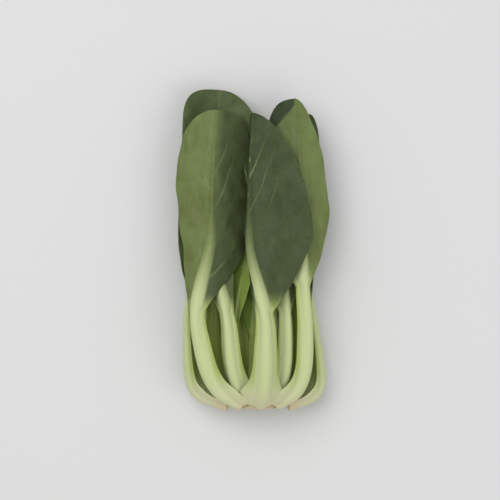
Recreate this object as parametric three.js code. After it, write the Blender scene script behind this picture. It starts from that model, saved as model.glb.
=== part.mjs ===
// A head of baby pak choi, lying on its back: a short trimmed stem with fourteen leaves round it.
// Millimetres. The foot is at -Y and the leaf tips are at +Y. +Z is up, from the surface that it lies on.
// Each leaf is one solid, a thick stalk that runs on as the midrib of a spoon-shaped blade.
// It is a stack of cross-sections, each set across the head at its own distance along the head.

import * as THREE from 'three';

// The whole head.
const TRIM_RADIUS = 10.2; // the stem where it is trimmed
const STEM_LENGTH = 16; // from the trimmed end to the growing point
const STEM_DEPTH_SHARE = 0.72; // the stem is an oval too
const DEPTH_SHARE = 0.74; // the head is flatter from front to back than across
const FACING_SHARE = 0.45; // and its stalks are turned towards its front and its back
const FAN_START = 48; // where the round fan of stalks starts to turn into a stack of blades
const FAN_END = 108; // where the blades lie stacked
const MIDDLE_X = 3.4; // the head's middle line, from the middle of its outline
const FOOT_Y = -98.71;
const MIDDLE_HEIGHT = 22.3; // of the middle line over the surface, which presses the lowest leaves flat

// How the stalks of each whorl leave the stem and bow out, and the radius that they are cupped to.
const WHORLS = {
  outermost: { start: 1.5, foot: 19, opening: 23.5, reach: 5.5, footThickness: 4.4, cup: 10.5 },
  outer: { start: 2.5, foot: 13.5, opening: 21.5, reach: 10, footThickness: 4.6, cup: 15 },
  inner: { start: 7, foot: 11.4, opening: 12.8, reach: 11, footThickness: 4.6, cup: 15 },
  heart: { start: 12, foot: 7, opening: 7, reach: 12, footThickness: 3, cup: 15 },
};

// The leaves. azimuth goes round the head in degrees, from the front (+Z) towards +X.
// lean carries the stalk sideways, bladeX and level place the blade in the stack, tipX its tip.
// facing is where the blade's outer face looks, in degrees like azimuth.
// The two sides of a blade have a half width each, the place where it is widest, from its start to its tip,
// how round its tip is (2 is an ellipse), the radius that it curls to, and its fold at the midrib in degrees.
const LEAVES = [
  {
    name: 'leaf_front', whorl: 'outer', azimuth: 8, lean: 0, stalk: 16, bladeStart: 60, length: 183,
    bladeX: -6, tipX: -3, level: 18, facing: -3, wave: 0.4,
    halves: [10, 40], widest: [0.45, 0.38], rounds: [2.3, 1.72], cups: [30, 400], folds: [68, 0],
  },
  {
    name: 'leaf_front_left', whorl: 'outer', azimuth: -61, lean: -7, stalk: 17, bladeStart: 60, length: 185,
    bladeX: -29, tipX: -25, level: 11, facing: -5, wave: 1.7,
    halves: [24, 26], widest: [0.66, 0.5], rounds: [2.2, 3.4], cups: [60, 25], folds: [2, 4],
  },
  {
    name: 'leaf_front_right', whorl: 'outer', azimuth: 66, lean: -2, stalk: 15, bladeStart: 76, length: 192,
    bladeX: 27, tipX: 22, level: 10.5, facing: 8, wave: 3.1,
    halves: [24, 18], widest: [0.4, 0.38], rounds: [3, 1.8], cups: [60, 60], folds: [4, 4],
  },
  {
    name: 'leaf_inner_front_left', whorl: 'inner', azimuth: -44, lean: -1.5, stalk: 14, bladeStart: 60,
    length: 168, bladeX: -29, tipX: -27, level: 2.56, facing: -2, wave: 4.4,
    halves: [13, 12.4], widest: [0.45, 0.45], rounds: [2.3, 2.3], cups: [60, 25], folds: [2, 4],
  },
  {
    name: 'leaf_inner_front_right', whorl: 'inner', azimuth: 54, lean: -2, stalk: 13, bladeStart: 60,
    length: 155, bladeX: 15, tipX: 12, level: 5.3, facing: 6, wave: 5.2,
    halves: [15, 18], widest: [0.45, 0.45], rounds: [2.3, 2.3], cups: [60, 60], folds: [4, 4],
  },
  {
    name: 'leaf_side_left', whorl: 'outermost', azimuth: -99.6, lean: -0.5, stalk: 19, bladeStart: 67,
    length: 168, bladeX: -35, tipX: -34, level: -2.5, facing: -177, wave: 0.9,
    halves: [13, 15], widest: [0.45, 0.45], rounds: [2.3, 2.3], cups: [80, 80], folds: [2, 2],
  },
  {
    name: 'leaf_side_right', whorl: 'outermost', azimuth: 100.7, lean: -8, stalk: 17.6, bladeStart: 67,
    length: 183, bladeX: 30, tipX: 32, level: -3.5, facing: 168, wave: 2.2,
    halves: [9, 12], widest: [0.45, 0.45], rounds: [2.3, 2.3], cups: [50, 50], folds: [2, 2],
  },
  {
    name: 'leaf_inner_back_left', whorl: 'inner', azimuth: -151, lean: -2, stalk: 16, bladeStart: 70,
    length: 198.4, bladeX: -26, tipX: -23, level: -7.5, facing: -180, wave: 3.6,
    halves: [31, 23], widest: [0.6, 0.8], rounds: [2, 3.6], cups: [110, 110], folds: [2, 2],
  },
  {
    name: 'leaf_inner_back_right', whorl: 'inner', azimuth: 140, lean: 0, stalk: 16, bladeStart: 70,
    length: 176, bladeX: 13, tipX: 12, level: -12, facing: 176, wave: 5.9,
    halves: [22, 22], widest: [0.5, 0.5], rounds: [2.3, 2.3], cups: [110, 110], folds: [2, 2],
  },
  {
    name: 'leaf_back_left', whorl: 'outer', azimuth: -137, lean: -2.8, stalk: 19, bladeStart: 58,
    length: 166, bladeX: -19, tipX: -18, level: -16.5, facing: -178, wave: 1.1,
    halves: [22, 23], widest: [0.5, 0.5], rounds: [2.3, 2.3], cups: [110, 110], folds: [2, 2],
  },
  {
    name: 'leaf_back_right', whorl: 'outer', azimuth: 136, lean: 0, stalk: 19, bladeStart: 58,
    length: 160, bladeX: 6, tipX: 3, level: -21, facing: 178, wave: 2.9,
    halves: [22, 22], widest: [0.5, 0.5], rounds: [2.3, 2.3], cups: [110, 110], folds: [0, 0],
  },
  {
    name: 'heart_leaf_left', whorl: 'heart', azimuth: -75, lean: -1, stalk: 7, bladeStart: 50, length: 110,
    bladeX: -7, tipX: -7, level: -2.4, facing: -6, wave: 4.9,
    halves: [7, 7], widest: [0.45, 0.45], rounds: [2.3, 2.3], cups: [45, 45], folds: [3, 3],
  },
  {
    name: 'heart_leaf_right', whorl: 'heart', azimuth: 50, lean: 0, stalk: 7, bladeStart: 48, length: 118,
    bladeX: 10, tipX: 10, level: -2.5, facing: 6, wave: 0.2,
    halves: [10, 10], widest: [0.45, 0.45], rounds: [2.3, 2.3], cups: [45, 45], folds: [3, 3],
  },
  {
    name: 'heart_leaf_back', whorl: 'heart', azimuth: -168, lean: 0, stalk: 7.5, bladeStart: 45, length: 108,
    bladeX: 1, tipX: 1, level: -5.5, facing: -178, wave: 3.3,
    halves: [10, 10], widest: [0.45, 0.45], rounds: [2.3, 2.3], cups: [30, 30], folds: [3, 3],
  },
];

// The stalk and the blade across their width.
const STALK_THICKNESS = 6.4;
const FULL_STALK = 12; // a stalk this wide has the full thickness
const FOOT_LENGTH = 9; // where the foot has grown to the stalk's full thickness
const STALK_EDGE = 1.8; // thickness at the stalk's margin
const FOOT_WIDTH_SHARE = 0.78; // of the stalk's width
const BOW_WIDTH_SHARE = 1.12;
const NECK_WIDTH_SHARE = 0.7;
const NECK_POWER = 1.6; // the stalk keeps its width low down and narrows near the neck
const BLADE_THICKNESS = 1;
const BLADE_THINS_OVER = 0.12; // of the blade's length, from its start
const RIB_SHARE = 0.62; // the part of the stalk's half width that is the thick rib
const RIB_FADE_POWER = 2.2; // the rib runs out along the blade
const RIB_ROUNDNESS = 0.8; // of the rib's back
const OUTER_SWELL = 0.75; // the part of the rib's swelling that is on the outer face
const RIB_TIP_HALF_WIDTH = 1.1;
const RIB_TIP_RISE = 0.5;
const NECK_LENGTH = 10; // the stalk's hollow starts to open this far before the blade
const OPEN_AT = 90; // and has opened into the blade's own curl here
const BLADE_FULLNESS = 0.6; // under 1, the blade swells sooner
const UPPER_ROWS_FROM = 0.5; // of the blade's length, where the rows start to close up towards the tip
const TIP_CLOSE = 83; // degrees of the tip's arc that are drawn
const TIP_DROP = 0.25; // of a front blade's height in the stack, by which its tip bends down
const TIP_POWER = 3;
const WAVE_HEIGHT = 1.1;
const WAVE_LENGTH = 34;
const WAVE_POWER = 1.5; // the waves grow towards the margin

// The grids.
const STALK_ROWS = 8;
const STALK_ROW_POWER = 1.5; // closer together at the foot
const LOWER_BLADE_ROWS = 8;
const UPPER_BLADE_ROWS = 8;
const RIB_CELLS = 2; // on each side of the middle
const WING_CELLS = 3; // on each side
const STEM_SIDES = 28;
const STEP = 1; // to the place ahead from which a leaf's turn is taken

const STALK_COLOUR = 0xc3cf9b;
const BLADE_COLOUR = 0x66774a;
const HEART_COLOUR = 0x94aa48;

const radians = (degrees) => (degrees * Math.PI) / 180;
const mix = (from, to, share) => from + (to - from) * share;

// Goes from 0 to 1 between two places, level at both ends.
function ease(place, from, to) {
  const share = Math.min(Math.max((place - from) / (to - from), 0), 1);
  return share * share * (3 - 2 * share);
}

// How far along its blade a place is: 0 at the blade's start and before it, 1 at its tip.
function bladeShareAt(leaf, along) {
  return Math.max((along - leaf.bladeStart) / (leaf.length - leaf.bladeStart), 0);
}

// The middle line of a leaf and the way that its outer face looks, at a distance along the head.
function routeAt(leaf, along) {
  const whorl = WHORLS[leaf.whorl];
  const angle = radians(leaf.azimuth);
  const opened = 1 - Math.exp(-(along - whorl.start) / whorl.reach);
  const radius = whorl.foot + whorl.opening * opened;
  const stack = ease(along, FAN_START, FAN_END);
  const tipShare = bladeShareAt(leaf, along) ** TIP_POWER;
  const stalkX = Math.sin(angle) * radius + (leaf.lean * (along - whorl.start)) / FAN_START;
  const stalkZ = Math.cos(angle) * radius * DEPTH_SHARE;
  const bladeZ = leaf.level - TIP_DROP * tipShare * Math.max(leaf.level, 0);
  const flatness = mix(DEPTH_SHARE, FACING_SHARE, ease(along, whorl.start, FAN_START));
  const outward = Math.atan2(Math.sin(angle) * flatness, Math.cos(angle));
  return {
    x: mix(stalkX, mix(leaf.bladeX, leaf.tipX, tipShare), stack),
    z: mix(stalkZ, bladeZ, stack),
    outward: mix(outward, radians(leaf.facing), stack),
    stack,
  };
}

// The half width of a leaf on one side: a narrow foot, the bowed stalk, its neck, and then the blade, which
// swells and rounds off.
function halfWidthAt(leaf, along, side) {
  const start = WHORLS[leaf.whorl].start;
  const stalkShare = Math.min((along - start) / (leaf.bladeStart - start), 1);
  const bow = mix(FOOT_WIDTH_SHARE, BOW_WIDTH_SHARE, ease(along, start, start + FOOT_LENGTH));
  const stalkHalf = (leaf.stalk / 2) * mix(bow, NECK_WIDTH_SHARE, stalkShare ** NECK_POWER);
  const share = bladeShareAt(leaf, along);
  const bladeHalf = leaf.halves[side];
  const widest = leaf.widest[side];
  if (share < widest) return mix(stalkHalf, bladeHalf, ease(share, 0, widest) ** BLADE_FULLNESS);
  const past = (share - widest) / (1 - widest);
  return bladeHalf * (1 - past ** leaf.rounds[side]) ** (1 / leaf.rounds[side]);
}

// The rib's half width and its swelling, which run out towards the tip, and the thickness at the rib's edge.
function ribAt(leaf, along) {
  const whorl = WHORLS[leaf.whorl];
  const share = bladeShareAt(leaf, along);
  const grown = ease(along, whorl.start, whorl.start + FOOT_LENGTH);
  const thick = mix(whorl.footThickness, STALK_THICKNESS * Math.min(leaf.stalk / FULL_STALK, 1), grown);
  const fade = (1 - share) ** RIB_FADE_POWER;
  return {
    halfWidth: mix(RIB_TIP_HALF_WIDTH, (leaf.stalk / 2) * RIB_SHARE, fade),
    swell: mix(RIB_TIP_RISE, thick - STALK_EDGE, fade),
    edge: mix(STALK_EDGE, BLADE_THICKNESS, ease(share, 0, BLADE_THINS_OVER)),
  };
}

// The distances along the head at which a leaf has its rows of vertices.
function rowsOf(leaf) {
  const start = WHORLS[leaf.whorl].start;
  const upper = mix(leaf.bladeStart, leaf.length, UPPER_ROWS_FROM);
  const rows = [];
  for (let row = 0; row < STALK_ROWS; row += 1) {
    rows.push(mix(start, leaf.bladeStart, (row / STALK_ROWS) ** STALK_ROW_POWER));
  }
  for (let row = 0; row < LOWER_BLADE_ROWS; row += 1) {
    rows.push(mix(leaf.bladeStart, upper, row / LOWER_BLADE_ROWS));
  }
  for (let row = 0; row <= UPPER_BLADE_ROWS; row += 1) {
    rows.push(mix(upper, leaf.length, Math.sin(radians((TIP_CLOSE * row) / UPPER_BLADE_ROWS))));
  }
  return rows;
}

// The places across a leaf: -1 and 1 are its margins, and the rib's edges are at -RIB_SHARE and RIB_SHARE.
function columnPlaces() {
  const half = [];
  for (let cell = 0; cell <= RIB_CELLS; cell += 1) half.push((RIB_SHARE * cell) / RIB_CELLS);
  for (let cell = 1; cell <= WING_CELLS; cell += 1) half.push(mix(RIB_SHARE, 1, cell / WING_CELLS));
  return [...half.slice(1).reverse().map((place) => -place), ...half];
}

// One cross-section of a leaf: its points on the outer and on the inner face.
// It is square to the stalk's course where the stalk bows out, and then to the blade's.
// From the middle out, the section starts at the fold's slope and then follows a circle of the cup's radius.
function sectionOf(leaf, along, places) {
  const route = routeAt(leaf, along);
  const ahead = routeAt(leaf, along + STEP);
  const turn = ((ahead.x - route.x) / STEP) * route.stack;
  const rib = ribAt(leaf, along);
  const opening = ease(along, leaf.bladeStart - NECK_LENGTH, OPEN_AT);
  const cos = Math.cos(route.outward);
  const sin = Math.sin(route.outward);
  const spread = ((ahead.x - route.x) * sin + (ahead.z - route.z) * cos) / STEP;
  const tilt = Math.atan(spread * (1 - route.stack));
  const outer = [];
  const inner = [];
  for (const place of places) {
    const side = place < 0 ? 0 : 1;
    const sign = Math.sign(place);
    const halfWidth = halfWidthAt(leaf, along, side);
    const ribHalf = Math.min(rib.halfWidth, halfWidth * RIB_SHARE);
    const wing = Math.max((Math.abs(place) - RIB_SHARE) / (1 - RIB_SHARE), 0);
    const inRib = Math.min(Math.abs(place) / RIB_SHARE, 1);
    const across = inRib * ribHalf + wing * (halfWidth - ribHalf);
    const swell = rib.swell * (1 - inRib * inRib) ** RIB_ROUNDNESS;
    const edge = mix(rib.edge, BLADE_THICKNESS, wing);
    const cup = 1 / mix(1 / WHORLS[leaf.whorl].cup, 1 / leaf.cups[side], opening);
    const fold = radians(leaf.folds[side]) * opening;
    const slope = fold + across / cup;
    const phase = (2 * Math.PI * along) / WAVE_LENGTH + leaf.wave + sign;
    const wave = WAVE_HEIGHT * route.stack * wing ** WAVE_POWER * Math.sin(phase);
    const reach = cup * (Math.sin(slope) - Math.sin(fold));
    const drop = cup * (Math.cos(fold) - Math.cos(slope));
    const layers = [
      [outer, edge / 2 + swell * OUTER_SWELL + wave, 0],
      [inner, -edge / 2 - swell * (1 - OUTER_SWELL) + wave, BLADE_THICKNESS],
    ];
    for (const [face, away, lowest] of layers) {
      const lateral = sign * (reach + Math.sin(slope) * away);
      const rise = Math.cos(slope) * away - drop;
      const out = rise * Math.cos(tilt);
      const offset = lateral * cos + out * sin;
      const height = MIDDLE_HEIGHT + route.z - lateral * sin + out * cos;
      const y = FOOT_Y + along - offset * turn - rise * Math.sin(tilt);
      face.push([MIDDLE_X + route.x + offset, y, Math.max(height, lowest)]);
    }
  }
  return { outer, inner };
}

// A closed leaf: both faces split into triangles alike, with walls round the foot, the margins and the tip.
function leafGeometry(leaf) {
  const places = columnPlaces();
  const sections = rowsOf(leaf).map((along) => sectionOf(leaf, along, places));
  const columns = places.length;
  const rows = sections.length;
  const positions = [];
  for (const face of ['outer', 'inner']) {
    for (const section of sections) positions.push(...section[face].flat());
  }
  const faces = [];
  const quad = (a, b, c, d) => faces.push(a, b, c, a, c, d);
  const at = (row, column) => row * columns + column;
  const innerFace = rows * columns;
  for (let row = 0; row + 1 < rows; row += 1) {
    for (let column = 0; column + 1 < columns; column += 1) {
      const corners = [at(row, column), at(row, column + 1), at(row + 1, column + 1), at(row + 1, column)];
      quad(...corners);
      const [a, b, c, d] = corners.map((corner) => corner + innerFace);
      faces.push(a, c, b, a, d, c);
    }
    const [left, leftNext] = [at(row, 0), at(row + 1, 0)];
    quad(left, leftNext, leftNext + innerFace, left + innerFace);
    const [right, rightNext] = [at(row, columns - 1), at(row + 1, columns - 1)];
    quad(right, right + innerFace, rightNext + innerFace, rightNext);
  }
  for (let column = 0; column + 1 < columns; column += 1) {
    const [foot, footNext] = [at(0, column), at(0, column + 1)];
    quad(foot, foot + innerFace, footNext + innerFace, footNext);
    const [tip, tipNext] = [at(rows - 1, column), at(rows - 1, column + 1)];
    quad(tip, tipNext, tipNext + innerFace, tip + innerFace);
  }
  const geometry = new THREE.BufferGeometry();
  geometry.setAttribute('position', new THREE.Float32BufferAttribute(positions, 3));
  geometry.setIndex(faces);
  return geometry;
}

// The stem is a blunt cone round the head's middle line, trimmed flat at the foot. The profile's points are
// shares of the trimmed radius and of the stem's length, from the trimmed end to the growing point.
function stemGeometry() {
  const profile = [[0, 0], [0.96, 0], [1, 0.06], [0.9, 0.26], [0.72, 0.52], [0.42, 0.82], [0, 1]];
  const points = profile.map(([out, up]) => new THREE.Vector2(TRIM_RADIUS * out, STEM_LENGTH * up));
  const stem = new THREE.LatheGeometry(points, STEM_SIDES);
  return stem.scale(1, 1, STEM_DEPTH_SHARE).translate(MIDDLE_X, FOOT_Y, MIDDLE_HEIGHT);
}

function piece(name, geometry, colour) {
  geometry.computeVertexNormals();
  const material = new THREE.MeshStandardMaterial({ color: colour, roughness: 0.5, metalness: 0 });
  const mesh = new THREE.Mesh(geometry, material);
  mesh.name = name;
  return mesh;
}

const head = new THREE.Group();
head.name = 'baby_pak_choi';
head.add(piece('stem_base', stemGeometry(), STALK_COLOUR));
for (const leaf of LEAVES) {
  const colour = leaf.whorl === 'heart' ? HEART_COLOUR : BLADE_COLOUR;
  head.add(piece(leaf.name, leafGeometry(leaf), colour));
}

export default head;
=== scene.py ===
"""A head of baby pak choi on its back: pale fleshy stalks fan out of a trimmed stem into dark leaves.

Every leaf is worked out as one surface of two parameters: the distance along the head, and the place
across the leaf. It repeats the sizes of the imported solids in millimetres, adds what is too fine for them,
and replaces them.
"""

import math

import bmesh
import bpy
import numpy as np
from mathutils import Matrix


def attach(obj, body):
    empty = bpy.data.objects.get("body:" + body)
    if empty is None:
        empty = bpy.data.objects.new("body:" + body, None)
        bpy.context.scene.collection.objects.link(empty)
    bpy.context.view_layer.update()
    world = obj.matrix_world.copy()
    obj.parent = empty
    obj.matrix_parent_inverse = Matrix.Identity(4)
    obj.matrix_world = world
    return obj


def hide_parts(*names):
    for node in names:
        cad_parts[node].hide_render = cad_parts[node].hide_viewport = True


bl_info = {
    "name": "Baby pak choi",
    "version": (1, 0, 0),
    "blender": (4, 5, 0),
    "location": "View3D > Sidebar > Pak choi",
    "description": "Dresses a packed head of baby pak choi with fine leaves, stalks and a cut stem",
    "category": "Add Mesh",
}

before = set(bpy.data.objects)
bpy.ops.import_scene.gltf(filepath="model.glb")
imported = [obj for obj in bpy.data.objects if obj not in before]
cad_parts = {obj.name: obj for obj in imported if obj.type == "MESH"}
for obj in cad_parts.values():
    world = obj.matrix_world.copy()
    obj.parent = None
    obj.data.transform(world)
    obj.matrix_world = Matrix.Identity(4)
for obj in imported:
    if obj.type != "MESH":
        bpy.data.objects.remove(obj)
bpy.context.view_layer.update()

# The photograph's frame: a pixel's real size, the pixel on the head's middle line, and the one level with
# its foot.
FRAME_PIXELS = 500
MM_PER_PIXEL = 0.62
MIDDLE_PIXEL_X = 258
FOOT_PIXEL_Y = 409
CAMERA_HEIGHT = 1.6  # metres over the head's middle line

# The head, in millimetres, as packed.
MIDDLE_X = 3.4
FOOT_Y = -98.71
MIDDLE_HEIGHT = 22.3
TRIM_RADIUS = 10.2
STEM_LENGTH = 16
STEM_DEPTH_SHARE = 0.72
DEPTH_SHARE = 0.74
FACING_SHARE = 0.45
FAN_START = 48
FAN_END = 108

# How the stalks of each whorl leave the stem and bow out, and the radius that they are cupped to.
WHORLS = {
    "outermost": {
        "start": 1.5, "foot": 19, "opening": 23.5, "reach": 5.5, "foot_thickness": 4.4, "cup": 10.5
    },
    "outer": {
        "start": 2.5, "foot": 13.5, "opening": 21.5, "reach": 10, "foot_thickness": 4.6, "cup": 15
    },
    "inner": {
        "start": 7, "foot": 11.4, "opening": 12.8, "reach": 11, "foot_thickness": 4.6, "cup": 15
    },
    "heart": {"start": 12, "foot": 7, "opening": 7, "reach": 12, "foot_thickness": 3, "cup": 15},
}

# The leaves. azimuth goes round the head in degrees, from the front (+Z) towards +X. lean carries the
# stalk sideways, blade_x and level place the blade in the stack, and tip_x its tip. facing is where the
# outer face looks, and wave is the phase of its waves. The two sides of a blade have a half width each, the
# place where it is widest, how round its tip is, the radius that it curls to, its fold at the midrib in
# degrees, how far its margin reaches round the stem at the foot, and its tone, from the light to the dark
# green; where the two sides' tones differ, the darker side is painted shade for a half that turns away from
# the light. crease is the slope of a line, beyond which a corner of the blade is bent back and painted dark
# as shade.
LEAVES = {
    "leaf_front": {
        "whorl": "outer", "azimuth": 8, "lean": 0, "stalk": 16, "blade_start": 60, "length": 183,
        "blade_x": -6, "tip_x": -3, "level": 18, "facing": -3, "wave": 0.4,
        "halves": (10, 40), "widest": (0.45, 0.38), "rounds": (2.3, 1.72), "cups": (30, 400),
        "folds": (68, 0), "clasps": (9, 6), "tones_and_shade": (0.95, 0.85),
    },
    "leaf_front_left": {
        "whorl": "outer", "azimuth": -61, "lean": -7, "stalk": 17, "blade_start": 60, "length": 185,
        "blade_x": -29, "tip_x": -25, "level": 11, "facing": -5, "wave": 1.7,
        "halves": (24, 26), "widest": (0.66, 0.5), "rounds": (2.2, 3.4), "cups": (60, 25),
        "folds": (2, 4), "clasps": (2, 4), "tones_and_shade": (0.05, 0.8),
    },
    "leaf_front_right": {
        "whorl": "outer", "azimuth": 66, "lean": -2, "stalk": 15, "blade_start": 76, "length": 192,
        "blade_x": 27, "tip_x": 22, "level": 10.5, "facing": 8, "wave": 3.1,
        "halves": (24, 18), "widest": (0.4, 0.38), "rounds": (3, 1.8), "cups": (60, 60),
        "folds": (4, 4), "clasps": (5, 2), "tones_and_shade": (0.3, 0.0), "crease": 1.0,
    },
    "leaf_inner_front_left": {
        "whorl": "inner", "azimuth": -44, "lean": -1.5, "stalk": 14, "blade_start": 60, "length": 168,
        "blade_x": -29, "tip_x": -27, "level": 2.56, "facing": -2, "wave": 4.4,
        "halves": (13, 12.4), "widest": (0.45, 0.45), "rounds": (2.3, 2.3), "cups": (60, 25),
        "folds": (2, 4), "clasps": (3, 3), "tones_and_shade": (0.5, 0.6),
    },
    "leaf_inner_front_right": {
        "whorl": "inner", "azimuth": 54, "lean": -2, "stalk": 13, "blade_start": 60, "length": 155,
        "blade_x": 15, "tip_x": 12, "level": 5.3, "facing": 6, "wave": 5.2,
        "halves": (15, 18), "widest": (0.45, 0.45), "rounds": (2.3, 2.3), "cups": (60, 60),
        "folds": (4, 4), "clasps": (3, 3), "tones_and_shade": (0.5, 0.5),
    },
    "leaf_side_left": {
        "whorl": "outermost", "azimuth": -99.6, "lean": -0.5, "stalk": 19, "blade_start": 67, "length": 168,
        "blade_x": -35, "tip_x": -34, "level": -2.5, "facing": -177, "wave": 0.9,
        "halves": (13, 15), "widest": (0.45, 0.45), "rounds": (2.3, 2.3), "cups": (80, 80),
        "folds": (2, 2), "clasps": (2, 2), "tones_and_shade": (0.6, 0.6),
    },
    "leaf_side_right": {
        "whorl": "outermost", "azimuth": 100.7, "lean": -8, "stalk": 17.6, "blade_start": 67, "length": 183,
        "blade_x": 30, "tip_x": 32, "level": -3.5, "facing": 168, "wave": 2.2,
        "halves": (9, 12), "widest": (0.45, 0.45), "rounds": (2.3, 2.3), "cups": (50, 50),
        "folds": (2, 2), "clasps": (2, 2), "tones_and_shade": (0.6, 0.6),
    },
    "leaf_inner_back_left": {
        "whorl": "inner", "azimuth": -151, "lean": -2, "stalk": 16, "blade_start": 70, "length": 198.2,
        "blade_x": -26, "tip_x": -23, "level": -7.5, "facing": -180, "wave": 3.6,
        "halves": (31, 23), "widest": (0.6, 0.8), "rounds": (2, 3.6), "cups": (110, 110),
        "folds": (2, 2), "clasps": (3, 3), "tones_and_shade": (0.3, 0.45),
    },
    "leaf_inner_back_right": {
        "whorl": "inner", "azimuth": 140, "lean": 0, "stalk": 16, "blade_start": 70, "length": 176,
        "blade_x": 13, "tip_x": 12, "level": -12, "facing": 176, "wave": 5.9,
        "halves": (22, 22), "widest": (0.5, 0.5), "rounds": (2.3, 2.3), "cups": (110, 110),
        "folds": (2, 2), "clasps": (3, 3), "tones_and_shade": (0.5, 0.5),
    },
    "leaf_back_left": {
        "whorl": "outer", "azimuth": -137, "lean": -2.8, "stalk": 19, "blade_start": 58, "length": 166,
        "blade_x": -19, "tip_x": -18, "level": -16.5, "facing": -178, "wave": 1.1,
        "halves": (22, 23), "widest": (0.5, 0.5), "rounds": (2.3, 2.3), "cups": (110, 110),
        "folds": (2, 2), "clasps": (4, 4), "tones_and_shade": (0.15, 0.25),
    },
    "leaf_back_right": {
        "whorl": "outer", "azimuth": 136, "lean": 0, "stalk": 19, "blade_start": 58, "length": 160,
        "blade_x": 6, "tip_x": 3, "level": -21, "facing": 178, "wave": 2.9,
        "halves": (22, 22), "widest": (0.5, 0.5), "rounds": (2.3, 2.3), "cups": (110, 110),
        "folds": (0, 0), "clasps": (4, 4), "tones_and_shade": (0.3, 0.2),
    },
    "heart_leaf_left": {
        "whorl": "heart", "azimuth": -75, "lean": -1, "stalk": 7, "blade_start": 50, "length": 110,
        "blade_x": -7, "tip_x": -7, "level": -2.4, "facing": -6, "wave": 4.9,
        "halves": (7, 7), "widest": (0.45, 0.45), "rounds": (2.3, 2.3), "cups": (45, 45),
        "folds": (3, 3), "clasps": (0, 0), "tones_and_shade": (0.1, 0.1),
    },
    "heart_leaf_right": {
        "whorl": "heart", "azimuth": 50, "lean": 0, "stalk": 7, "blade_start": 48, "length": 118,
        "blade_x": 10, "tip_x": 10, "level": -2.5, "facing": 6, "wave": 0.2,
        "halves": (10, 10), "widest": (0.45, 0.45), "rounds": (2.3, 2.3), "cups": (45, 45),
        "folds": (3, 3), "clasps": (0, 0), "tones_and_shade": (0.1, 0.1),
    },
    "heart_leaf_back": {
        "whorl": "heart", "azimuth": -168, "lean": 0, "stalk": 7.5, "blade_start": 45, "length": 108,
        "blade_x": 1, "tip_x": 1, "level": -5.5, "facing": -178, "wave": 3.3,
        "halves": (10, 10), "widest": (0.45, 0.45), "rounds": (2.3, 2.3), "cups": (30, 30),
        "folds": (3, 3), "clasps": (0, 0), "tones_and_shade": (0.1, 0.1),
    },
}

# The stalk and the blade across their width, in millimetres.
STALK_THICKNESS = 6.4
FULL_STALK = 12  # a stalk this wide has the full thickness
FOOT_LENGTH = 9
STALK_EDGE = 1.8
FOOT_WIDTH_SHARE = 0.78
BOW_WIDTH_SHARE = 1.12
NECK_WIDTH_SHARE = 0.7
NECK_POWER = 1.6  # the stalk keeps its width low down and narrows near the neck
BLADE_THINS_OVER = 0.12  # of the blade's length
RIB_SHARE = 0.62  # the part of the stalk's half width that is the thick rib
RIB_FADE_POWER = 2.2
RIB_ROUNDNESS = 1.15
OUTER_SWELL = 0.75  # the part of the rib's swelling that is on the outer face
RIB_TIP_HALF_WIDTH = 1.1
RIB_TIP_RISE = 0.5
NECK_LENGTH = 10  # the stalk's hollow starts to open this far before the blade
OPEN_AT = 90  # and has opened into the blade's own curl here
BLADE_FULLNESS = 0.6  # under 1, the blade swells sooner
TIP_DROP = 0.25  # of a front blade's height in the stack, by which its tip bends down
TIP_POWER = 3
WAVE_POWER = 1.5  # the waves grow towards the margin

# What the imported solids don't have, in millimetres where nothing else is said.
CLASP_FADES_OVER = 12  # from the foot
CLASP_FLATTENS = 0.6  # the share of a clasp that is added to the radius of the foot's cup
THINNEST = 0.12  # what is left of the thickness at the very margin
MARGIN_BAND = 4  # how wide the paler margin can be
SIDE_SHADE_CHANGE = (-2.5, 5.5)  # where one side's tone goes over to the other's, from the midrib; the darker side is painted shade
CREASE_SLOPE = 0.35  # of the bent corner beyond a crease
CREASE_REACH = 24  # from the midrib, where the crease stops falling
CREASE_DROP = 4  # of the crease's start below the tip
CREASE_SHADE_LINE = (-0.6, 0.8)  # where the tone changes across the crease, to the painted shade of the bent corner

# The side veins and the puckers between them.
VEIN_SLOPES = (0.9, 3.0)  # how steeply the side veins rise, at the blade's start and at its tip
VEIN_CURVE = 0.012  # how much the slope grows with each millimetre from the midrib
OUTER_VEIN_RISE = 0.132
INNER_VEIN_RISE = 0.066
VEIN_WIDTHS = (1.6, 0.5)  # at the midrib, and where it has thinned
VEIN_THINS_OVER = 26
VEIN_FADES = (12, 30)  # from the midrib
FREE_OF_RIB = 8  # how far from the rib the blade is soft enough for full puckers
FREE_OF_NECK = (0.02, 0.2)  # and how far along it, in shares of its length
DIMPLES = (3.1, 2.6)  # millimetres for a radian of the dimples, along and across
RIPPLES = (6.3, 4.1)
PLEATS = (40, 3.4)
RIPPLE_HEIGHT = 0.9  # as a share of the dimples'
PLEAT_HEIGHT = 1.1

# The stem.
STEM_FLARE = 1.1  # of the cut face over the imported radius, where the stalks' feet join it
CUT_SHARE = 0.4  # the part of the stem's rings that is on the cut face
CUT_LIFT = 0.47  # of the cut face over the foot's end
CONE_START = 0.15
CONE_POWER = 2.2
CONE_LIFT_POWER = 0.75
LOBES = ((3, 0.012, 1), (7, 0.01, 0))  # how many times round, how high, and their phase
FIBRE_RINGS = 3.1  # radians for each millimetre of the radius
FIBRE_RING_HEIGHT = 0.12

# The grids.
TIP_CLOSE = 88.6  # degrees of the tip's arc that are drawn
UPPER_ROWS_FROM = 0.5  # of the blade's length, where the rows start to close up towards the tip
STALK_ROW_POWER = 1.5  # closer together at the foot
COLUMN_POWER = 1.6  # closer together at the margin
FINE_GRID = {"stalk": 56, "lower": 46, "upper": 50, "rib": 10, "wing": 22}
SMALL_GRID = {"stalk": 36, "lower": 26, "upper": 26, "rib": 6, "wing": 10}
STEM_RINGS = 40
STEM_SPOKES = 96

MM = 0.001
UV_UNIT = 100  # millimetres in one unit of a leaf's UV map

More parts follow.
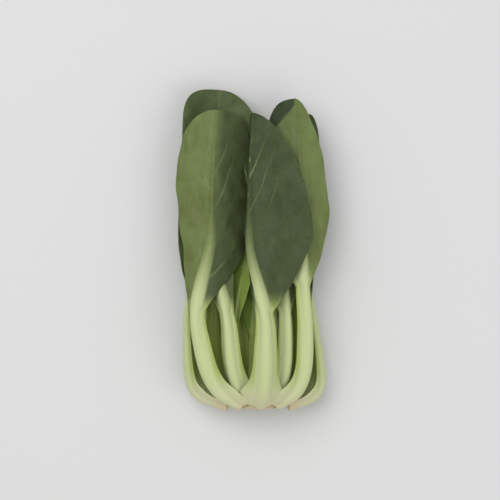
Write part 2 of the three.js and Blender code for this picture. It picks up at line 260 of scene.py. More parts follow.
# The stage.
FLOOR_HALF_WIDTH = 6.0  # metres
LAMPS = (  # name, place, width and power
    ("key", (-0.5, 0.55, 1.5), 1.4, 14.0),
    ("fill", (0.8, -0.5, 1.3), 1.4, 6.0),
)
LAMP_AIM = (0, 0, 0.02)
SKY_STRENGTH = 0.6

# Colours that nobody would change, in sRGB.
STRING_COLOUR = "#a9b878"
PITH_COLOUR = "#c3c78f"
STAIN_COLOUR = "#b7a884"
OLD_HEART_COLOUR = "#6f8a33"
PAPER_COLOUR = "#d6d6d6"
SKY_COLOUR = "#f4f5f4"


def linear(hex_colour):
    """Turns an sRGB hex colour into linear red, green and blue."""
    channels = [int(hex_colour[i : i + 2], 16) / 255 for i in (1, 3, 5)]
    return tuple(c / 12.92 if c <= 0.04045 else ((c + 0.055) / 1.055) ** 2.4 for c in channels)


def mix(start, end, share):
    return start + (end - start) * share


def ease(place, start, end):
    """Goes from 0 to 1 between two places, level at both ends."""
    share = np.clip((place - start) / (end - start), 0, 1)
    return share * share * (3 - 2 * share)


class PakChoiSettings(bpy.types.PropertyGroup):
    """The sizes and colours of the head that a user would change."""

    blade_thickness: bpy.props.FloatProperty(
        name="Blade thickness",
        description="Thickness of the leaf blades, in metres",
        default=0.0008,
        min=0.0004,
        max=0.002,
        unit="LENGTH",
        precision=4,
    )
    wave_height: bpy.props.FloatProperty(
        name="Wave height",
        description="Height of the waves along the leaf margins, in metres",
        default=0.0011,
        min=0,
        max=0.004,
        unit="LENGTH",
        precision=4,
    )
    wave_length: bpy.props.FloatProperty(
        name="Wave length",
        description="Length of the waves along the leaf margins, in metres",
        default=0.034,
        min=0.01,
        max=0.1,
        unit="LENGTH",
        precision=3,
    )
    pucker_height: bpy.props.FloatProperty(
        name="Pucker height",
        description="Height of the soft puckers between the veins, in metres",
        default=0.0005,
        min=0,
        max=0.002,
        unit="LENGTH",
        precision=4,
    )
    vein_spacing: bpy.props.FloatProperty(
        name="Vein spacing",
        description="Distance between side veins along the midrib, in metres",
        default=0.022,
        min=0.005,
        max=0.04,
        unit="LENGTH",
        precision=3,
    )
    stalk_colour: bpy.props.FloatVectorProperty(
        name="Stalk",
        description="Colour of the outer face of the stalks",
        subtype="COLOR",
        default=linear("#bdc793"),
        min=0,
        max=1,
    )
    foot_colour: bpy.props.FloatVectorProperty(
        name="Stalk foot",
        description="Colour of the stalks where they leave the stem",
        subtype="COLOR",
        default=linear("#cccba4"),
        min=0,
        max=1,
    )
    # The stalk's own greener margins, and on the hollow side an olive that is partly painted shade.
    margin_and_hollow_shade_colour: bpy.props.FloatVectorProperty(
        name="Stalk hollow",
        description="Colour of the hollow side and the margins of the stalks",
        subtype="COLOR",
        default=linear("#8b9e3f"),
        min=0,
        max=1,
    )
    light_blade_colour: bpy.props.FloatVectorProperty(
        name="Light blades",
        description="Colour of the dull lower face of the lightest blades",
        subtype="COLOR",
        default=linear("#6b7845"),
        min=0,
        max=1,
    )
    # Also the colour towards which painted shade darkens blade halves and bent corners.
    dark_blade_and_shade_colour: bpy.props.FloatVectorProperty(
        name="Dark blades",
        description="Colour of the darkest blades and of every upper face",
        subtype="COLOR",
        default=linear("#364128"),
        min=0,
        max=1,
    )
    heart_colour: bpy.props.FloatVectorProperty(
        name="Heart blades",
        description="Colour of the young blades in the heart",
        subtype="COLOR",
        default=linear("#7f9440"),
        min=0,
        max=1,
    )
    vein_colour: bpy.props.FloatVectorProperty(
        name="Veins",
        description="Colour of the midrib and the side veins",
        subtype="COLOR",
        default=linear("#98a56e"),
        min=0,
        max=1,
    )
    cut_colour: bpy.props.FloatVectorProperty(
        name="Cut ends",
        description="Colour of the trimmed stem and stalk ends",
        subtype="COLOR",
        default=linear("#cdbd98"),
        min=0,
        max=1,
    )


def blade_share_at(leaf, along):
    """How far along its blade a place is: 0 at the blade's start and before it, 1 at its tip."""
    return np.maximum((along - leaf["blade_start"]) / (leaf["length"] - leaf["blade_start"]), 0)


def route_at(leaf, along):
    """A leaf's middle line and the way that its outer face looks, for distances along the head.

    The stalk lies on an oval round the head's middle line. The oval opens as one minus a falling
    exponential. Past the fan, the place eases over to the leaf's own place in the stack of blades.
    """
    whorl = WHORLS[leaf["whorl"]]
    angle = math.radians(leaf["azimuth"])
    opened = 1 - np.exp(-(along - whorl["start"]) / whorl["reach"])
    radius = whorl["foot"] + whorl["opening"] * opened
    stack = ease(along, FAN_START, FAN_END)
    tip_share = blade_share_at(leaf, along) ** TIP_POWER
    stalk_x = math.sin(angle) * radius + leaf["lean"] * (along - whorl["start"]) / FAN_START
    stalk_z = math.cos(angle) * radius * DEPTH_SHARE
    blade_z = leaf["level"] - TIP_DROP * tip_share * max(leaf["level"], 0)
    flatness = mix(DEPTH_SHARE, FACING_SHARE, ease(along, whorl["start"], FAN_START))
    outward = np.arctan2(math.sin(angle) * flatness, math.cos(angle))
    return {
        "x": mix(stalk_x, mix(leaf["blade_x"], leaf["tip_x"], tip_share), stack),
        "z": mix(stalk_z, blade_z, stack),
        "outward": mix(outward, math.radians(leaf["facing"]), stack),
        "stack": stack,
    }


def half_width_at(leaf, along, side):
    """The half width of a leaf on one side: a narrow foot, the bowed stalk, its neck, and then the blade,
    which swells by an eased power and rounds off as a superellipse."""
    start = WHORLS[leaf["whorl"]]["start"]
    stalk_share = np.minimum((along - start) / (leaf["blade_start"] - start), 1)
    bow = mix(FOOT_WIDTH_SHARE, BOW_WIDTH_SHARE, ease(along, start, start + FOOT_LENGTH))
    stalk_half = leaf["stalk"] / 2 * mix(bow, NECK_WIDTH_SHARE, stalk_share**NECK_POWER)
    share = blade_share_at(leaf, along)
    blade_half, widest, rounds = (leaf[key][side] for key in ("halves", "widest", "rounds"))
    swelling = mix(stalk_half, blade_half, ease(share, 0, widest) ** BLADE_FULLNESS)
    past = np.clip((share - widest) / (1 - widest), 0, 1)
    rounding = blade_half * (1 - past**rounds) ** (1 / rounds)
    return np.where(share < widest, swelling, rounding)


def rows_of(leaf, grid):
    """The distances along the head of a leaf's rows: closer at the foot, and a sine's at the tip."""
    start = WHORLS[leaf["whorl"]]["start"]
    upper = mix(leaf["blade_start"], leaf["length"], UPPER_ROWS_FROM)
    stalk = mix(start, leaf["blade_start"], (np.arange(grid["stalk"]) / grid["stalk"]) ** STALK_ROW_POWER)
    lower = mix(leaf["blade_start"], upper, np.arange(grid["lower"]) / grid["lower"])
    arc = np.radians(np.linspace(0, TIP_CLOSE, grid["upper"] + 1))
    return np.concatenate([stalk, lower, mix(upper, leaf["length"], np.sin(arc))])


def columns_of(grid):
    """The places across a leaf, from -1 to 1, closer together at the margins, which are rounded."""
    rib = RIB_SHARE * np.arange(grid["rib"] + 1) / grid["rib"]
    wing = 1 - (1 - np.arange(1, grid["wing"] + 1) / grid["wing"]) ** COLUMN_POWER
    half = np.concatenate([rib, mix(RIB_SHARE, 1, wing)])
    return np.concatenate([-half[:0:-1], half])


def vein_ridges(leaf, along, across, share, spacing):
    """The side veins, from 0 to 1. A vein is a curve on which the distance along the head, less the vein's
    rise from the midrib, is a whole number of spacings. Its section is a bell that narrows outwards."""
    away = np.abs(across)
    rise = away * (mix(*VEIN_SLOPES, share) + VEIN_CURVE * away)
    phase = (along - rise) / spacing + np.where(across > 0, 0.5, 0)
    distance = np.abs(phase - np.round(phase)) * spacing
    width = mix(*VEIN_WIDTHS, np.minimum(away / VEIN_THINS_OVER, 1))
    return np.exp(-((distance / width) ** 2)) * (1 - ease(away, *VEIN_FADES))


def puckers(along, across, phase):
    """The soft puckers: dimples, which are two sines multiplied, with oblique ripples and lengthwise pleats,
    each a sine of the places along and across. Every leaf has its own phase."""
    dimples = np.sin(along / DIMPLES[0] + 3 * phase) * np.sin(across / DIMPLES[1] + phase)
    ripples = np.sin(along / RIPPLES[0] - across / RIPPLES[1] + 5 * phase)
    pleats = np.sin(across / PLEATS[1] + along / PLEATS[0] + 2 * phase)
    return dimples + RIPPLE_HEIGHT * ripples + PLEAT_HEIGHT * pleats


def leaf_arrays(leaf, grid, settings):
    """A leaf's two faces as a grid of points, in millimetres, with its UV map and its point attributes.

    Each cross-section is square to the stalk's course where the stalk bows out, and then to the blade's.
    Across it, the middle layer starts at the fold's slope and then follows a circle of the cup's radius. Each
    face lies off that along its own normal, by half the thickness and its part of the rib's swelling, a
    rounded bell. Near a margin the thickness falls as a quarter circle. Waves grow towards the margins, and
    soft puckers lie between the veins. At the foot, the margins reach round the stem.
    """
    along = rows_of(leaf, grid)[:, None]
    place = columns_of(grid)[None, :]
    blade_mm = settings.blade_thickness / MM
    whorl = WHORLS[leaf["whorl"]]
    route = route_at(leaf, along)
    ahead = route_at(leaf, along + 1)
    turn = (ahead["x"] - route["x"]) * route["stack"]
    share = blade_share_at(leaf, along)
    right = place >= 0
    sign = np.sign(place)

    grown = ease(along, whorl["start"], whorl["start"] + FOOT_LENGTH)
    thick = mix(whorl["foot_thickness"], STALK_THICKNESS * min(leaf["stalk"] / FULL_STALK, 1), grown)
    fade = np.clip(1 - share, 0, 1) ** RIB_FADE_POWER
    rib_half = mix(RIB_TIP_HALF_WIDTH, leaf["stalk"] / 2 * RIB_SHARE, fade)
    rib_swell = mix(RIB_TIP_RISE, thick - STALK_EDGE, fade)
    rib_edge = mix(STALK_EDGE, blade_mm, ease(share, 0, BLADE_THINS_OVER))

    half_width = np.where(right, half_width_at(leaf, along, 1), half_width_at(leaf, along, 0))
    rib_half = np.minimum(rib_half, half_width * RIB_SHARE)
    clasp = np.where(right, leaf["clasps"][1], leaf["clasps"][0])
    clasp = clasp * np.exp(-(((along - whorl["start"]) / CLASP_FADES_OVER) ** 2))
    wing = np.maximum((np.abs(place) - RIB_SHARE) / (1 - RIB_SHARE), 0)
    in_rib = np.minimum(np.abs(place) / RIB_SHARE, 1)
    across = in_rib * rib_half + wing * (half_width + clasp - rib_half)

    opening = ease(along, leaf["blade_start"] - NECK_LENGTH, OPEN_AT)
    cup_side = np.where(right, leaf["cups"][1], leaf["cups"][0])
    stalk_cup = whorl["cup"] + CLASP_FLATTENS * clasp
    cup = 1 / mix(1 / stalk_cup, 1 / cup_side, opening)
    fold = np.radians(np.where(right, leaf["folds"][1], leaf["folds"][0])) * opening
    slope = fold + across / cup
    reach = cup * (np.sin(slope) - np.sin(fold))
    drop = cup * (np.cos(fold) - np.cos(slope))

    swell = rib_swell * (1 - in_rib**2) ** RIB_ROUNDNESS
    edge = mix(rib_edge, blade_mm, wing)
    to_margin = half_width + clasp - across
    to_tip = np.maximum(leaf["length"] - along, 0)
    inside = np.clip(np.minimum(to_margin, to_tip) / (edge / 2), 0, 1)
    rounding = np.maximum(np.sqrt(1 - (1 - inside) ** 2), THINNEST)

    signed = sign * across
    free = ease(across - rib_half, 0, FREE_OF_RIB) * ease(share, *FREE_OF_NECK)
    veins = vein_ridges(leaf, along, signed, share, settings.vein_spacing / MM) * free
    phase = 2 * math.pi * along / (settings.wave_length / MM) + leaf["wave"] + sign
    wave = settings.wave_height / MM * route["stack"] * wing**WAVE_POWER * np.sin(phase)
    wave = wave + settings.pucker_height / MM * puckers(along, signed, leaf["wave"]) * free

    cos, sin = np.cos(route["outward"]), np.sin(route["outward"])
    spread = (ahead["x"] - route["x"]) * sin + (ahead["z"] - route["z"]) * cos
    tilt = np.arctan(spread * (1 - route["stack"]))
    full = np.ones_like(across)
    # Each side's tone; where the two sides differ, the darker half is painted shade for a half turned away
    # from the light.
    tone = mix(*leaf["tones_and_shade"], ease(signed, *SIDE_SHADE_CHANGE)) * full
    # Beyond the crease the corner is bent back, and its tone goes to the darkest green as painted shade.
    if "crease" in leaf:
        below = np.maximum(leaf["length"] - along - CREASE_DROP, 0)
        beyond = np.minimum(-signed, CREASE_REACH) - leaf["crease"] * below
        tone = mix(tone, 1.0, ease(beyond, *CREASE_SHADE_LINE))
        wave = wave - CREASE_SLOPE * np.maximum(beyond, 0)
    points, inner_face = [], []
    faces = (  # how far off, the veins' rise, how low it may lie, and whether it is the inner face
        (edge / 2 + swell * OUTER_SWELL, OUTER_VEIN_RISE, 0, 0),
        (-edge / 2 - swell * (1 - OUTER_SWELL), INNER_VEIN_RISE, blade_mm, 1),
    )
    for layer, vein_rise, lowest, inner in faces:
        away = layer * rounding + wave + vein_rise * veins
        lateral = sign * (reach + np.sin(slope) * away)
        rise = np.cos(slope) * away - drop
        out = rise * np.cos(tilt)
        offset = lateral * cos + out * sin
        x = MIDDLE_X + route["x"] + offset
        y = FOOT_Y + along - offset * turn - rise * np.sin(tilt)
        z = np.maximum(MIDDLE_HEIGHT + route["z"] - lateral * sin + out * cos, lowest)
        points.append(np.stack([x, y, z], axis=-1).reshape(-1, 3))
        inner_face.append((full * inner).ravel())
    uvs = np.stack([signed, along * full], axis=-1).reshape(-1, 2) / UV_UNIT
    attributes = {
        "rib": across / rib_half,
        "blade": share * full,
        "tone": tone,
        "edge": np.clip(to_margin / MARGIN_BAND, 0, 1),
    }
    attributes = {name: np.tile(values.ravel(), 2) for name, values in attributes.items()}
    attributes["inner"] = np.concatenate(inner_face)
    return np.concatenate(points), np.tile(uvs, (2, 1)), attributes, across.shape


def closed_sheet_faces(rows, columns):
    """The quads of two grids that face away from each other, joined by walls along all four sides."""
    index = np.arange(rows * columns).reshape(rows, columns)
    a, b, c, d = index[:-1, :-1], index[:-1, 1:], index[1:, 1:], index[1:, :-1]
    under = rows * columns
    outer = np.stack([a, b, c, d], axis=-1).reshape(-1, 4)
    inner = np.stack([a, d, c, b], axis=-1).reshape(-1, 4) + under
    walls = []
    for line, outward in ((index[:, 0], 1), (index[:, -1], -1), (index[0], -1), (index[-1], 1)):
        wall = np.stack([line[:-1], line[1:], line[1:] + under, line[:-1] + under], axis=-1)
        walls.append(wall[:, ::outward])
    return np.concatenate([outer, inner, *walls])


def new_piece(name, points, faces, uvs, attributes, material):
    """Makes a mesh object out of arrays in millimetres and puts it in the scene."""
    mesh = bpy.data.meshes.new(name)
    mesh.vertices.add(len(points))
    mesh.vertices.foreach_set("co", (points * MM).astype(np.float32).ravel())
    mesh.loops.add(faces.size)
    mesh.loops.foreach_set("vertex_index", faces.astype(np.int32).ravel())
    mesh.polygons.add(len(faces))
    mesh.polygons.foreach_set("loop_start", np.arange(0, faces.size, 4, dtype=np.int32))
    mesh.update(calc_edges=True)
    mesh.validate()
    layer = mesh.uv_layers.new(name="UVMap")
    layer.data.foreach_set("uv", uvs[faces.ravel()].astype(np.float32).ravel())
    for key, values in attributes.items():
        attribute = mesh.attributes.new(key, "FLOAT", "POINT")
        attribute.data.foreach_set("value", values.astype(np.float32))
    mesh.polygons.foreach_set("use_smooth", np.ones(len(faces), dtype=bool))
    mesh.materials.append(material)
    piece = bpy.data.objects.new(name, mesh)
    bpy.context.scene.collection.objects.link(piece)
    return piece


def add_node(tree, kind, links=None, **settings):
    """Adds a node with its settings. links gives each input, by name or number, a value or an output."""
    made = tree.nodes.new(kind)
    for key, value in settings.items():
        setattr(made, key, value)
    for key, value in (links or {}).items():
        if isinstance(value, bpy.types.NodeSocket):
            tree.links.new(value, made.inputs[key])
        else:
            made.inputs[key].default_value = value
    return made


def smooth_ramp(tree, value, low, high, start=0.0, end=1.0):
    """Goes smoothly from start to end while the value goes from low to high."""
    links = {0: value, 1: low, 2: high, 3: start, 4: end}
    return add_node(tree, "ShaderNodeMapRange", links, interpolation_type="SMOOTHSTEP").outputs[0]


def blend_colours(tree, share, first, second):
    """Mixes two colours. Each is a colour's three values, or an output."""
    first, second = (
        each if isinstance(each, bpy.types.NodeSocket) else (*each, 1) for each in (first, second)
    )
    return add_node(tree, "ShaderNodeMix", {0: share, 6: first, 7: second}, data_type="RGBA").outputs[2]


def add_noise(tree, vector, scale, detail=3.0, roughness=0.55):
    links = {"Vector": vector, "Scale": scale, "Detail": detail, "Roughness": roughness}
    return add_node(tree, "ShaderNodeTexNoise", links).outputs[0]


def new_material(name):
    """An empty node material and its tree."""
    material = bpy.data.materials.new(name)
    material.use_nodes = True
    material.node_tree.nodes.clear()
    return material, material.node_tree


def finish_material(material, inputs):
    """Joins one surface shader with these inputs to the material's output."""
    tree = material.node_tree
    shader = add_node(tree, "ShaderNodeBsdfPrincipled", inputs)
    add_node(tree, "ShaderNodeOutputMaterial", {"Surface": shader.outputs[0]})
    return material


def leaf_material(name, light_blade, dark_blade_and_shade, settings):
    """Fresh cabbage leaf with a waxy skin. The fleshy stalk is pale and smooth, with fine lengthwise strings
    and greener margins; its hollow side is olive, which is partly painted shade. The blade is softly mottled,
    with a few pale veins that leave the midrib and rise steeply, and a faint net between them; where its tone
    darkens one half or a bent corner, that is painted shade. Light shines a little way into both."""
    material, tree = new_material(name)

    def calc(operation, first, second=0.0, third=0.0):
        made = add_node(tree, "ShaderNodeMath", {0: first, 1: second, 2: third}, operation=operation)
        return made.outputs[0]

    def ramp(*values):
        return smooth_ramp(tree, *values)

    def blend(*values):
        return blend_colours(tree, *values)

    def noise(*values):
        return add_noise(tree, *values)

    def cells(scale):
        links = {"Vector": uv, "Scale": scale}
        return add_node(tree, "ShaderNodeTexVoronoi", links, feature="DISTANCE_TO_EDGE").outputs[0]

    def toned(colour, value, saturation):
        links = {"Value": value, "Saturation": saturation, "Color": colour}
        return add_node(tree, "ShaderNodeHueSaturation", links).outputs[0]

    def stretched(vector, across_scale, along_scale):
        links = {"Vector": vector, "Scale": (across_scale, along_scale, 1.0)}
        return add_node(tree, "ShaderNodeMapping", links).outputs[0]

    def read(attribute):
        return add_node(tree, "ShaderNodeAttribute", attribute_name=attribute).outputs["Fac"]

    def bump(height, distance, normal=None):
        links = {"Height": height, "Distance": distance, "Strength": 1.0}
        if normal:
            links["Normal"] = normal
        return add_node(tree, "ShaderNodeBump", links).outputs[0]

    uv = add_node(tree, "ShaderNodeUVMap", uv_map="UVMap").outputs[0]
    solid = add_node(tree, "ShaderNodeTexCoord").outputs["Object"]
    parts = add_node(tree, "ShaderNodeSeparateXYZ", {0: uv})
    across, along = parts.outputs[0], parts.outputs[1]
    rib, share, inner, tone, edge = (read(key) for key in ("rib", "blade", "inner", "tone", "edge"))
    away = calc("ABSOLUTE", across)

    # Broad mottling 25 mm across, streaks along the blade 4 mm wide, and clouds 6 mm across.
    mottle = noise(solid, 40.0)
    streaks = noise(stretched(uv, 26.0, 4.0), 1.0, 3.0)
    clouds = noise(solid, 160.0, 4.0)

    # The side veins, by the mesh's own rule, with a slight wander. They fade out towards the margin.
    spacing = settings.vein_spacing / MM / UV_UNIT
    low_slope, high_slope = VEIN_SLOPES
    slope = calc("MULTIPLY_ADD", share, high_slope - low_slope, low_slope)
    slope = calc("MULTIPLY_ADD", away, VEIN_CURVE * UV_UNIT, slope)
    start = calc("SUBTRACT", along, calc("MULTIPLY", away, slope))
    half_step = calc("MULTIPLY", calc("GREATER_THAN", across, 0.0), 0.5)
    phase = calc("ADD", calc("DIVIDE", start, spacing), half_step)
    phase = calc("ADD", phase, calc("MULTIPLY_ADD", noise(solid, 60.0, 1.0), 0.24, -0.12))
    vein_width = ramp(away, 0.0, 0.3, 0.05, 0.018)
    off_line = calc("DIVIDE", calc("PINGPONG", phase, 0.5), vein_width)
    side_veins = calc("MULTIPLY", ramp(off_line, 1.8, 0.2), ramp(away, 0.24, 0.03))
    side_veins = calc("MULTIPLY", side_veins, ramp(noise(solid, 34.0, 1.0), 0.36, 0.6, 0.1, 1.0))
    side_veins = calc("MULTIPLY", side_veins, ramp(tone, 0.7, 1.0, 0.16, 0.6))
    side_veins = calc("MULTIPLY", side_veins, ramp(share, 0.95, 0.7))

    # A faint net of small veins, in cells 6 mm and 2 mm across.
    net = calc("ADD", ramp(cells(16.0), 0.06, 0.0, 0.0, 0.5), ramp(cells(48.0), 0.1, 0.0, 0.0, 0.25))

    # The midrib fades towards the tip, and the stalk's flesh reaches into the lower blade beside it.
    midrib = calc("MULTIPLY", ramp(rib, 1.3, 0.7), ramp(share, 0.55, 0.08, 0.04, 1.0))
    flesh = ramp(calc("MULTIPLY_ADD", calc("SUBTRACT", mottle, 0.5), 0.08, share), 0.1, 0.0)
    green = calc("SUBTRACT", 1.0, calc("MAXIMUM", flesh, midrib))

    # The blade's colour follows its tone, in which a darker half or bent corner is painted shade; every upper
    # face is darker.
    upper_tone = calc("MULTIPLY", inner, ramp(tone, 0.0, 0.8, 0.45, 0.9))
    blade = blend(calc("MAXIMUM", tone, upper_tone), light_blade, dark_blade_and_shade)
    darker = toned(blade, 0.74, 1.05)
    lighter = toned(blade, 1.22, 0.96)
    mottled = blend(ramp(mottle, 0.35, 0.7, 0.0, 0.9), blade, darker)
    mottled = blend(ramp(streaks, 0.42, 0.75, 0.0, 0.6), mottled, lighter)
    mottled = blend(ramp(clouds, 0.45, 0.75, 0.0, 0.25), mottled, darker)
    veins = calc("MAXIMUM", side_veins, calc("MULTIPLY", net, 0.05))
    veined = blend(veins, mottled, settings.vein_colour)
    veined = blend(ramp(edge, 0.2, 0.0, 0.0, 0.16), veined, settings.vein_colour)

    # The stalk: strings 1.2 mm apart, greener towards its margins, olive on its hollow side as partly painted
    # shade, creamier at the foot.
    strings = noise(stretched(uv, 85.0, 3.0), 1.0, 3.0, 0.6)
    margins = ramp(rib, 0.85, 1.55, 0.0, 0.85)
    greening = calc("MAXIMUM", margins, calc("MULTIPLY", inner, 0.95))
    greening = calc("MULTIPLY", greening, ramp(along, 0.08, 0.28, 0.1, 1.0))
    greening = calc("MULTIPLY", greening, ramp(strings, 0.25, 0.7, 0.75, 1.0))
    stalk = blend(ramp(along, 0.22, 0.03), settings.stalk_colour, settings.foot_colour)
    stalk = blend(ramp(strings, 0.45, 0.75, 0.0, 0.16), stalk, linear(STRING_COLOUR))
    stalk = blend(greening, stalk, settings.margin_and_hollow_shade_colour)
    rib_colour = blend(ramp(share, 0.0, 0.35), stalk, settings.vein_colour)

    surface = blend(green, rib_colour, veined)
    surface = blend(ramp(along, 0.05, 0.004), surface, settings.cut_colour)

    relief = bump(calc("MULTIPLY", strings, calc("SUBTRACT", 1.0, green)), 0.0002)
    relief = bump(calc("MULTIPLY", veins, green), 0.0004, relief)
    relief = bump(calc("MULTIPLY", clouds, green), 0.0006, relief)
    roughness = calc("ADD", ramp(green, 0.0, 1.0, 0.38, 0.55), calc("MULTIPLY", inner, -0.08))
    roughness = calc("ADD", roughness, calc("MULTIPLY", calc("SUBTRACT", clouds, 0.5), 0.2))
    return finish_material(
        material,
        {
            "Base Color": surface,
            "Roughness": roughness,
            "Normal": relief,
            "IOR": 1.36,
            "Specular IOR Level": 0.3,
            "Subsurface Weight": 0.12,
            "Subsurface Radius": (0.5, 0.8, 0.2),
            "Subsurface Scale": 0.0025,
            "Coat Weight": 0.03,
            "Coat Roughness": 0.3,
        },
    )


def stem_material(settings):
    """Cut cabbage stem: pale, moist pith, stained tan where it has dried, and speckled with fibre ends. It is
    greener behind the cut."""
    material, tree = new_material("Cut cabbage stem")
    solid = add_node(tree, "ShaderNodeTexCoord").outputs["Object"]
    middle = (-MIDDLE_X * MM, -FOOT_Y * MM, -MIDDLE_HEIGHT * MM)
    centred = add_node(tree, "ShaderNodeMapping", {"Vector": solid, "Location": middle}).outputs[0]
    speckle = add_noise(tree, centred, 900.0, 4.0, 0.5)
    stain = add_noise(tree, centred, 160.0, 3.0, 0.5)
    depth = add_node(tree, "ShaderNodeSeparateXYZ", {0: centred}).outputs[1]
    colour = blend_colours(
        tree, smooth_ramp(tree, stain, 0.42, 0.7), settings.cut_colour, linear(STAIN_COLOUR)
    )
    colour = blend_colours(tree, smooth_ramp(tree, depth, 0.001, 0.006), colour, linear(PITH_COLOUR))
    relief = add_node(tree, "ShaderNodeBump", {"Height": speckle, "Distance": 0.0004}).outputs[0]
    return finish_material(
        material,
        {
            "Base Color": colour,
            "Roughness": 0.6,
            "Normal": relief,
            "IOR": 1.4,
            "Subsurface Weight": 0.15,
            "Subsurface Radius": (0.9, 0.8, 0.4),
            "Subsurface Scale": 0.002,
        },
    )


def floor_material():
    """Matt white studio paper, with a slight tooth."""
    material, tree = new_material("Matt white studio paper")
    solid = add_node(tree, "ShaderNodeTexCoord").outputs["Object"]
    tooth = add_noise(tree, solid, 900.0, 3.0, 0.5)
    relief = add_node(tree, "ShaderNodeBump", {"Height": tooth, "Distance": 0.00008}).outputs[0]
    colour = (*linear(PAPER_COLOUR), 1)
    return finish_material(material, {"Base Color": colour, "Roughness": 0.85, "Normal": relief})


def dress_leaves(whorls, grid, material, settings):
    """Makes a fine leaf for each leaf of these whorls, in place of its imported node."""
    for name, leaf in LEAVES.items():
        if leaf["whorl"] not in whorls:
            continue
        points, uvs, attributes, shape = leaf_arrays(leaf, grid, settings)
        piece = new_piece(name + "_fine", points, closed_sheet_faces(*shape), uvs, attributes, material)
        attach(piece, "root")
        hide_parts(name)


class PAKCHOI_OT_stem(bpy.types.Operator):
    """Adds the trimmed stem: a flattened solid of revolution, with fine rings in its cut face"""

    bl_idname = "pakchoi.stem"
    bl_label = "Trimmed stem"

    def execute(self, context):
        settings = context.scene.pakchoi
        turn = np.linspace(0, 2 * math.pi, STEM_SPOKES, endpoint=False)[None, :]
        place = np.linspace(0, 1, STEM_RINGS)[:, None]
        cut = np.minimum(place / CUT_SHARE, 1)
        flank = np.clip((place - CUT_SHARE) / (1 - CUT_SHARE), 0, 1)
        out = STEM_FLARE * np.where(place < CUT_SHARE, cut, 1 - flank**CONE_POWER)
        lobes = sum(height * np.sin(times * turn + phase) for times, height, phase in LOBES)
        radius = TRIM_RADIUS * out * (1 + lobes)
        x = MIDDLE_X + radius * np.cos(turn)
        z = MIDDLE_HEIGHT + radius * np.sin(turn) * STEM_DEPTH_SHARE
        lift = np.where(place < CUT_SHARE, CUT_LIFT, CONE_START + STEM_LENGTH * flank**CONE_LIFT_POWER)
        rings = FIBRE_RING_HEIGHT * np.sin(radius * FIBRE_RINGS) * (1 - flank) * cut
        y = FOOT_Y + lift + rings + 0 * turn
        points = np.stack([x, y, z], axis=-1).reshape(-1, 3)
        index = np.arange(STEM_RINGS * STEM_SPOKES).reshape(STEM_RINGS, STEM_SPOKES)
        after = np.roll(index, -1, axis=1)
        faces = np.stack([index[:-1], index[1:], after[1:], after[:-1]], axis=-1).reshape(-1, 4)
        uvs = points[:, [0, 2]] / UV_UNIT
        piece = new_piece("stem_base_fine", points, faces, uvs, {}, stem_material(settings))
        # The rings at both poles have no radius, so each is merged into one point.
        closed = bmesh.new()
        closed.from_mesh(piece.data)
        bmesh.ops.remove_doubles(closed, verts=closed.verts, dist=0.01 * MM)
        closed.to_mesh(piece.data)
        closed.free()
        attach(piece, "root")
        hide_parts("stem_base")
        return {"FINISHED"}


class PAKCHOI_OT_outer_leaves(bpy.types.Operator):
    """Adds the seven leaves of the outer whorls: sheets with a thick, cupped stalk and a waved blade"""

    bl_idname = "pakchoi.outer_leaves"
    bl_label = "Outer leaves"

    def execute(self, context):
        settings = context.scene.pakchoi
        colours = (settings.light_blade_colour, settings.dark_blade_and_shade_colour)
        green = leaf_material("Fresh outer cabbage leaf", *colours, settings)
        dress_leaves(("outer", "outermost"), FINE_GRID, green, settings)
        return {"FINISHED"}


class PAKCHOI_OT_inner_leaves(bpy.types.Operator):
    """Adds the four leaves of the inner whorl, which are made as the outer ones are"""

    bl_idname = "pakchoi.inner_leaves"
    bl_label = "Inner leaves"

    def execute(self, context):
        settings = context.scene.pakchoi
        colours = (settings.light_blade_colour, settings.dark_blade_and_shade_colour)
        green = leaf_material("Fresh inner cabbage leaf", *colours, settings)
        dress_leaves(("inner",), FINE_GRID, green, settings)
        return {"FINISHED"}


class PAKCHOI_OT_heart_leaves(bpy.types.Operator):
    """Adds the three small leaves of the heart, on a coarser grid"""

    bl_idname = "pakchoi.heart_leaves"
    bl_label = "Heart leaves"

    def execute(self, context):
        settings = context.scene.pakchoi
        colours = (settings.heart_colour, linear(OLD_HEART_COLOUR))
        green = leaf_material("Young cabbage leaf", *colours, settings)
        dress_leaves(("heart",), SMALL_GRID, green, settings)
        return {"FINISHED"}


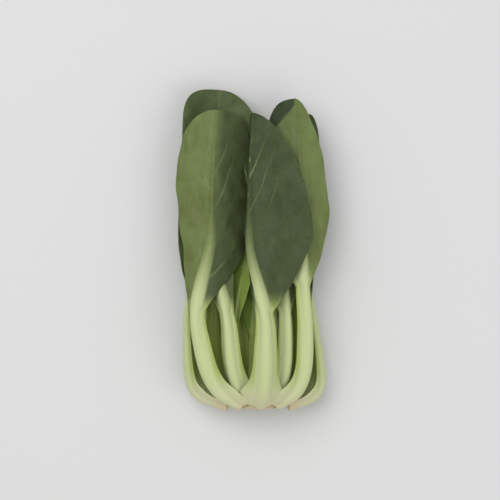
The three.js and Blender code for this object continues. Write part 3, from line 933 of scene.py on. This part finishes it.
class PAKCHOI_OT_stage(bpy.types.Operator):
    """Adds the pale floor, the soft lights and the camera that looks straight down"""

    bl_idname = "pakchoi.stage"
    bl_label = "Floor, light and camera"

    def execute(self, context):
        scene = context.scene
        mesh = bpy.data.meshes.new("floor")
        side = FLOOR_HALF_WIDTH
        corners = [(-side, -side, 0), (side, -side, 0), (side, side, 0), (-side, side, 0)]
        mesh.from_pydata(corners, [], [(0, 1, 2, 3)])
        mesh.materials.append(floor_material())
        floor = bpy.data.objects.new("floor", mesh)
        scene.collection.objects.link(floor)

        for name, place, width, power in LAMPS:
            light = bpy.data.lights.new(name, "AREA")
            light.shape = "DISK"
            light.size = width
            light.energy = power
            lamp = bpy.data.objects.new(name, light)
            lamp.location = place
            x, y, z = np.subtract(LAMP_AIM, place)
            lamp.rotation_euler = (math.atan2(math.hypot(x, y), -z), 0, math.atan2(-x, y))
            scene.collection.objects.link(lamp)

        world = bpy.data.worlds.new("studio")
        world.use_nodes = True
        background = world.node_tree.nodes["Background"]
        background.inputs["Color"].default_value = (*linear(SKY_COLOUR), 1)
        background.inputs["Strength"].default_value = SKY_STRENGTH
        scene.world = world
        scene.view_settings.view_transform = "Standard"

        frame_width = FRAME_PIXELS * MM_PER_PIXEL * MM
        camera_data = bpy.data.cameras.new("camera")
        camera_data.sensor_width = 36
        camera_data.lens = camera_data.sensor_width * CAMERA_HEIGHT / frame_width
        camera = bpy.data.objects.new("camera", camera_data)
        middle_x = MIDDLE_X + (FRAME_PIXELS / 2 - MIDDLE_PIXEL_X) * MM_PER_PIXEL
        middle_y = FOOT_Y + (FOOT_PIXEL_Y - FRAME_PIXELS / 2) * MM_PER_PIXEL
        camera.location = (middle_x * MM, middle_y * MM, MIDDLE_HEIGHT * MM + CAMERA_HEIGHT)
        scene.collection.objects.link(camera)
        scene.camera = camera
        return {"FINISHED"}


class PAKCHOI_PT_head(bpy.types.Panel):
    """Lists the steps that dress the head"""

    bl_label = "Baby pak choi"
    bl_space_type = "VIEW_3D"
    bl_region_type = "UI"
    bl_category = "Pak choi"

    def draw(self, context):
        settings = context.scene.pakchoi
        for name in settings.bl_rna.properties.keys():
            if name not in ("rna_type", "name"):
                self.layout.prop(settings, name)
        for step in STEPS:
            self.layout.operator(step.bl_idname)


STEPS = (
    PAKCHOI_OT_stage,
    PAKCHOI_OT_stem,
    PAKCHOI_OT_outer_leaves,
    PAKCHOI_OT_inner_leaves,
    PAKCHOI_OT_heart_leaves,
)
CLASSES = (PakChoiSettings, *STEPS, PAKCHOI_PT_head)


def register():
    for each in CLASSES:
        bpy.utils.register_class(each)
    bpy.types.Scene.pakchoi = bpy.props.PointerProperty(type=PakChoiSettings)


def unregister():
    del bpy.types.Scene.pakchoi
    for each in reversed(CLASSES):
        bpy.utils.unregister_class(each)


def main():
    register()
    bpy.ops.pakchoi.stage()
    bpy.ops.pakchoi.stem()
    bpy.ops.pakchoi.outer_leaves()
    bpy.ops.pakchoi.inner_leaves()
    bpy.ops.pakchoi.heart_leaves()


if __name__ == "__main__":
    main()
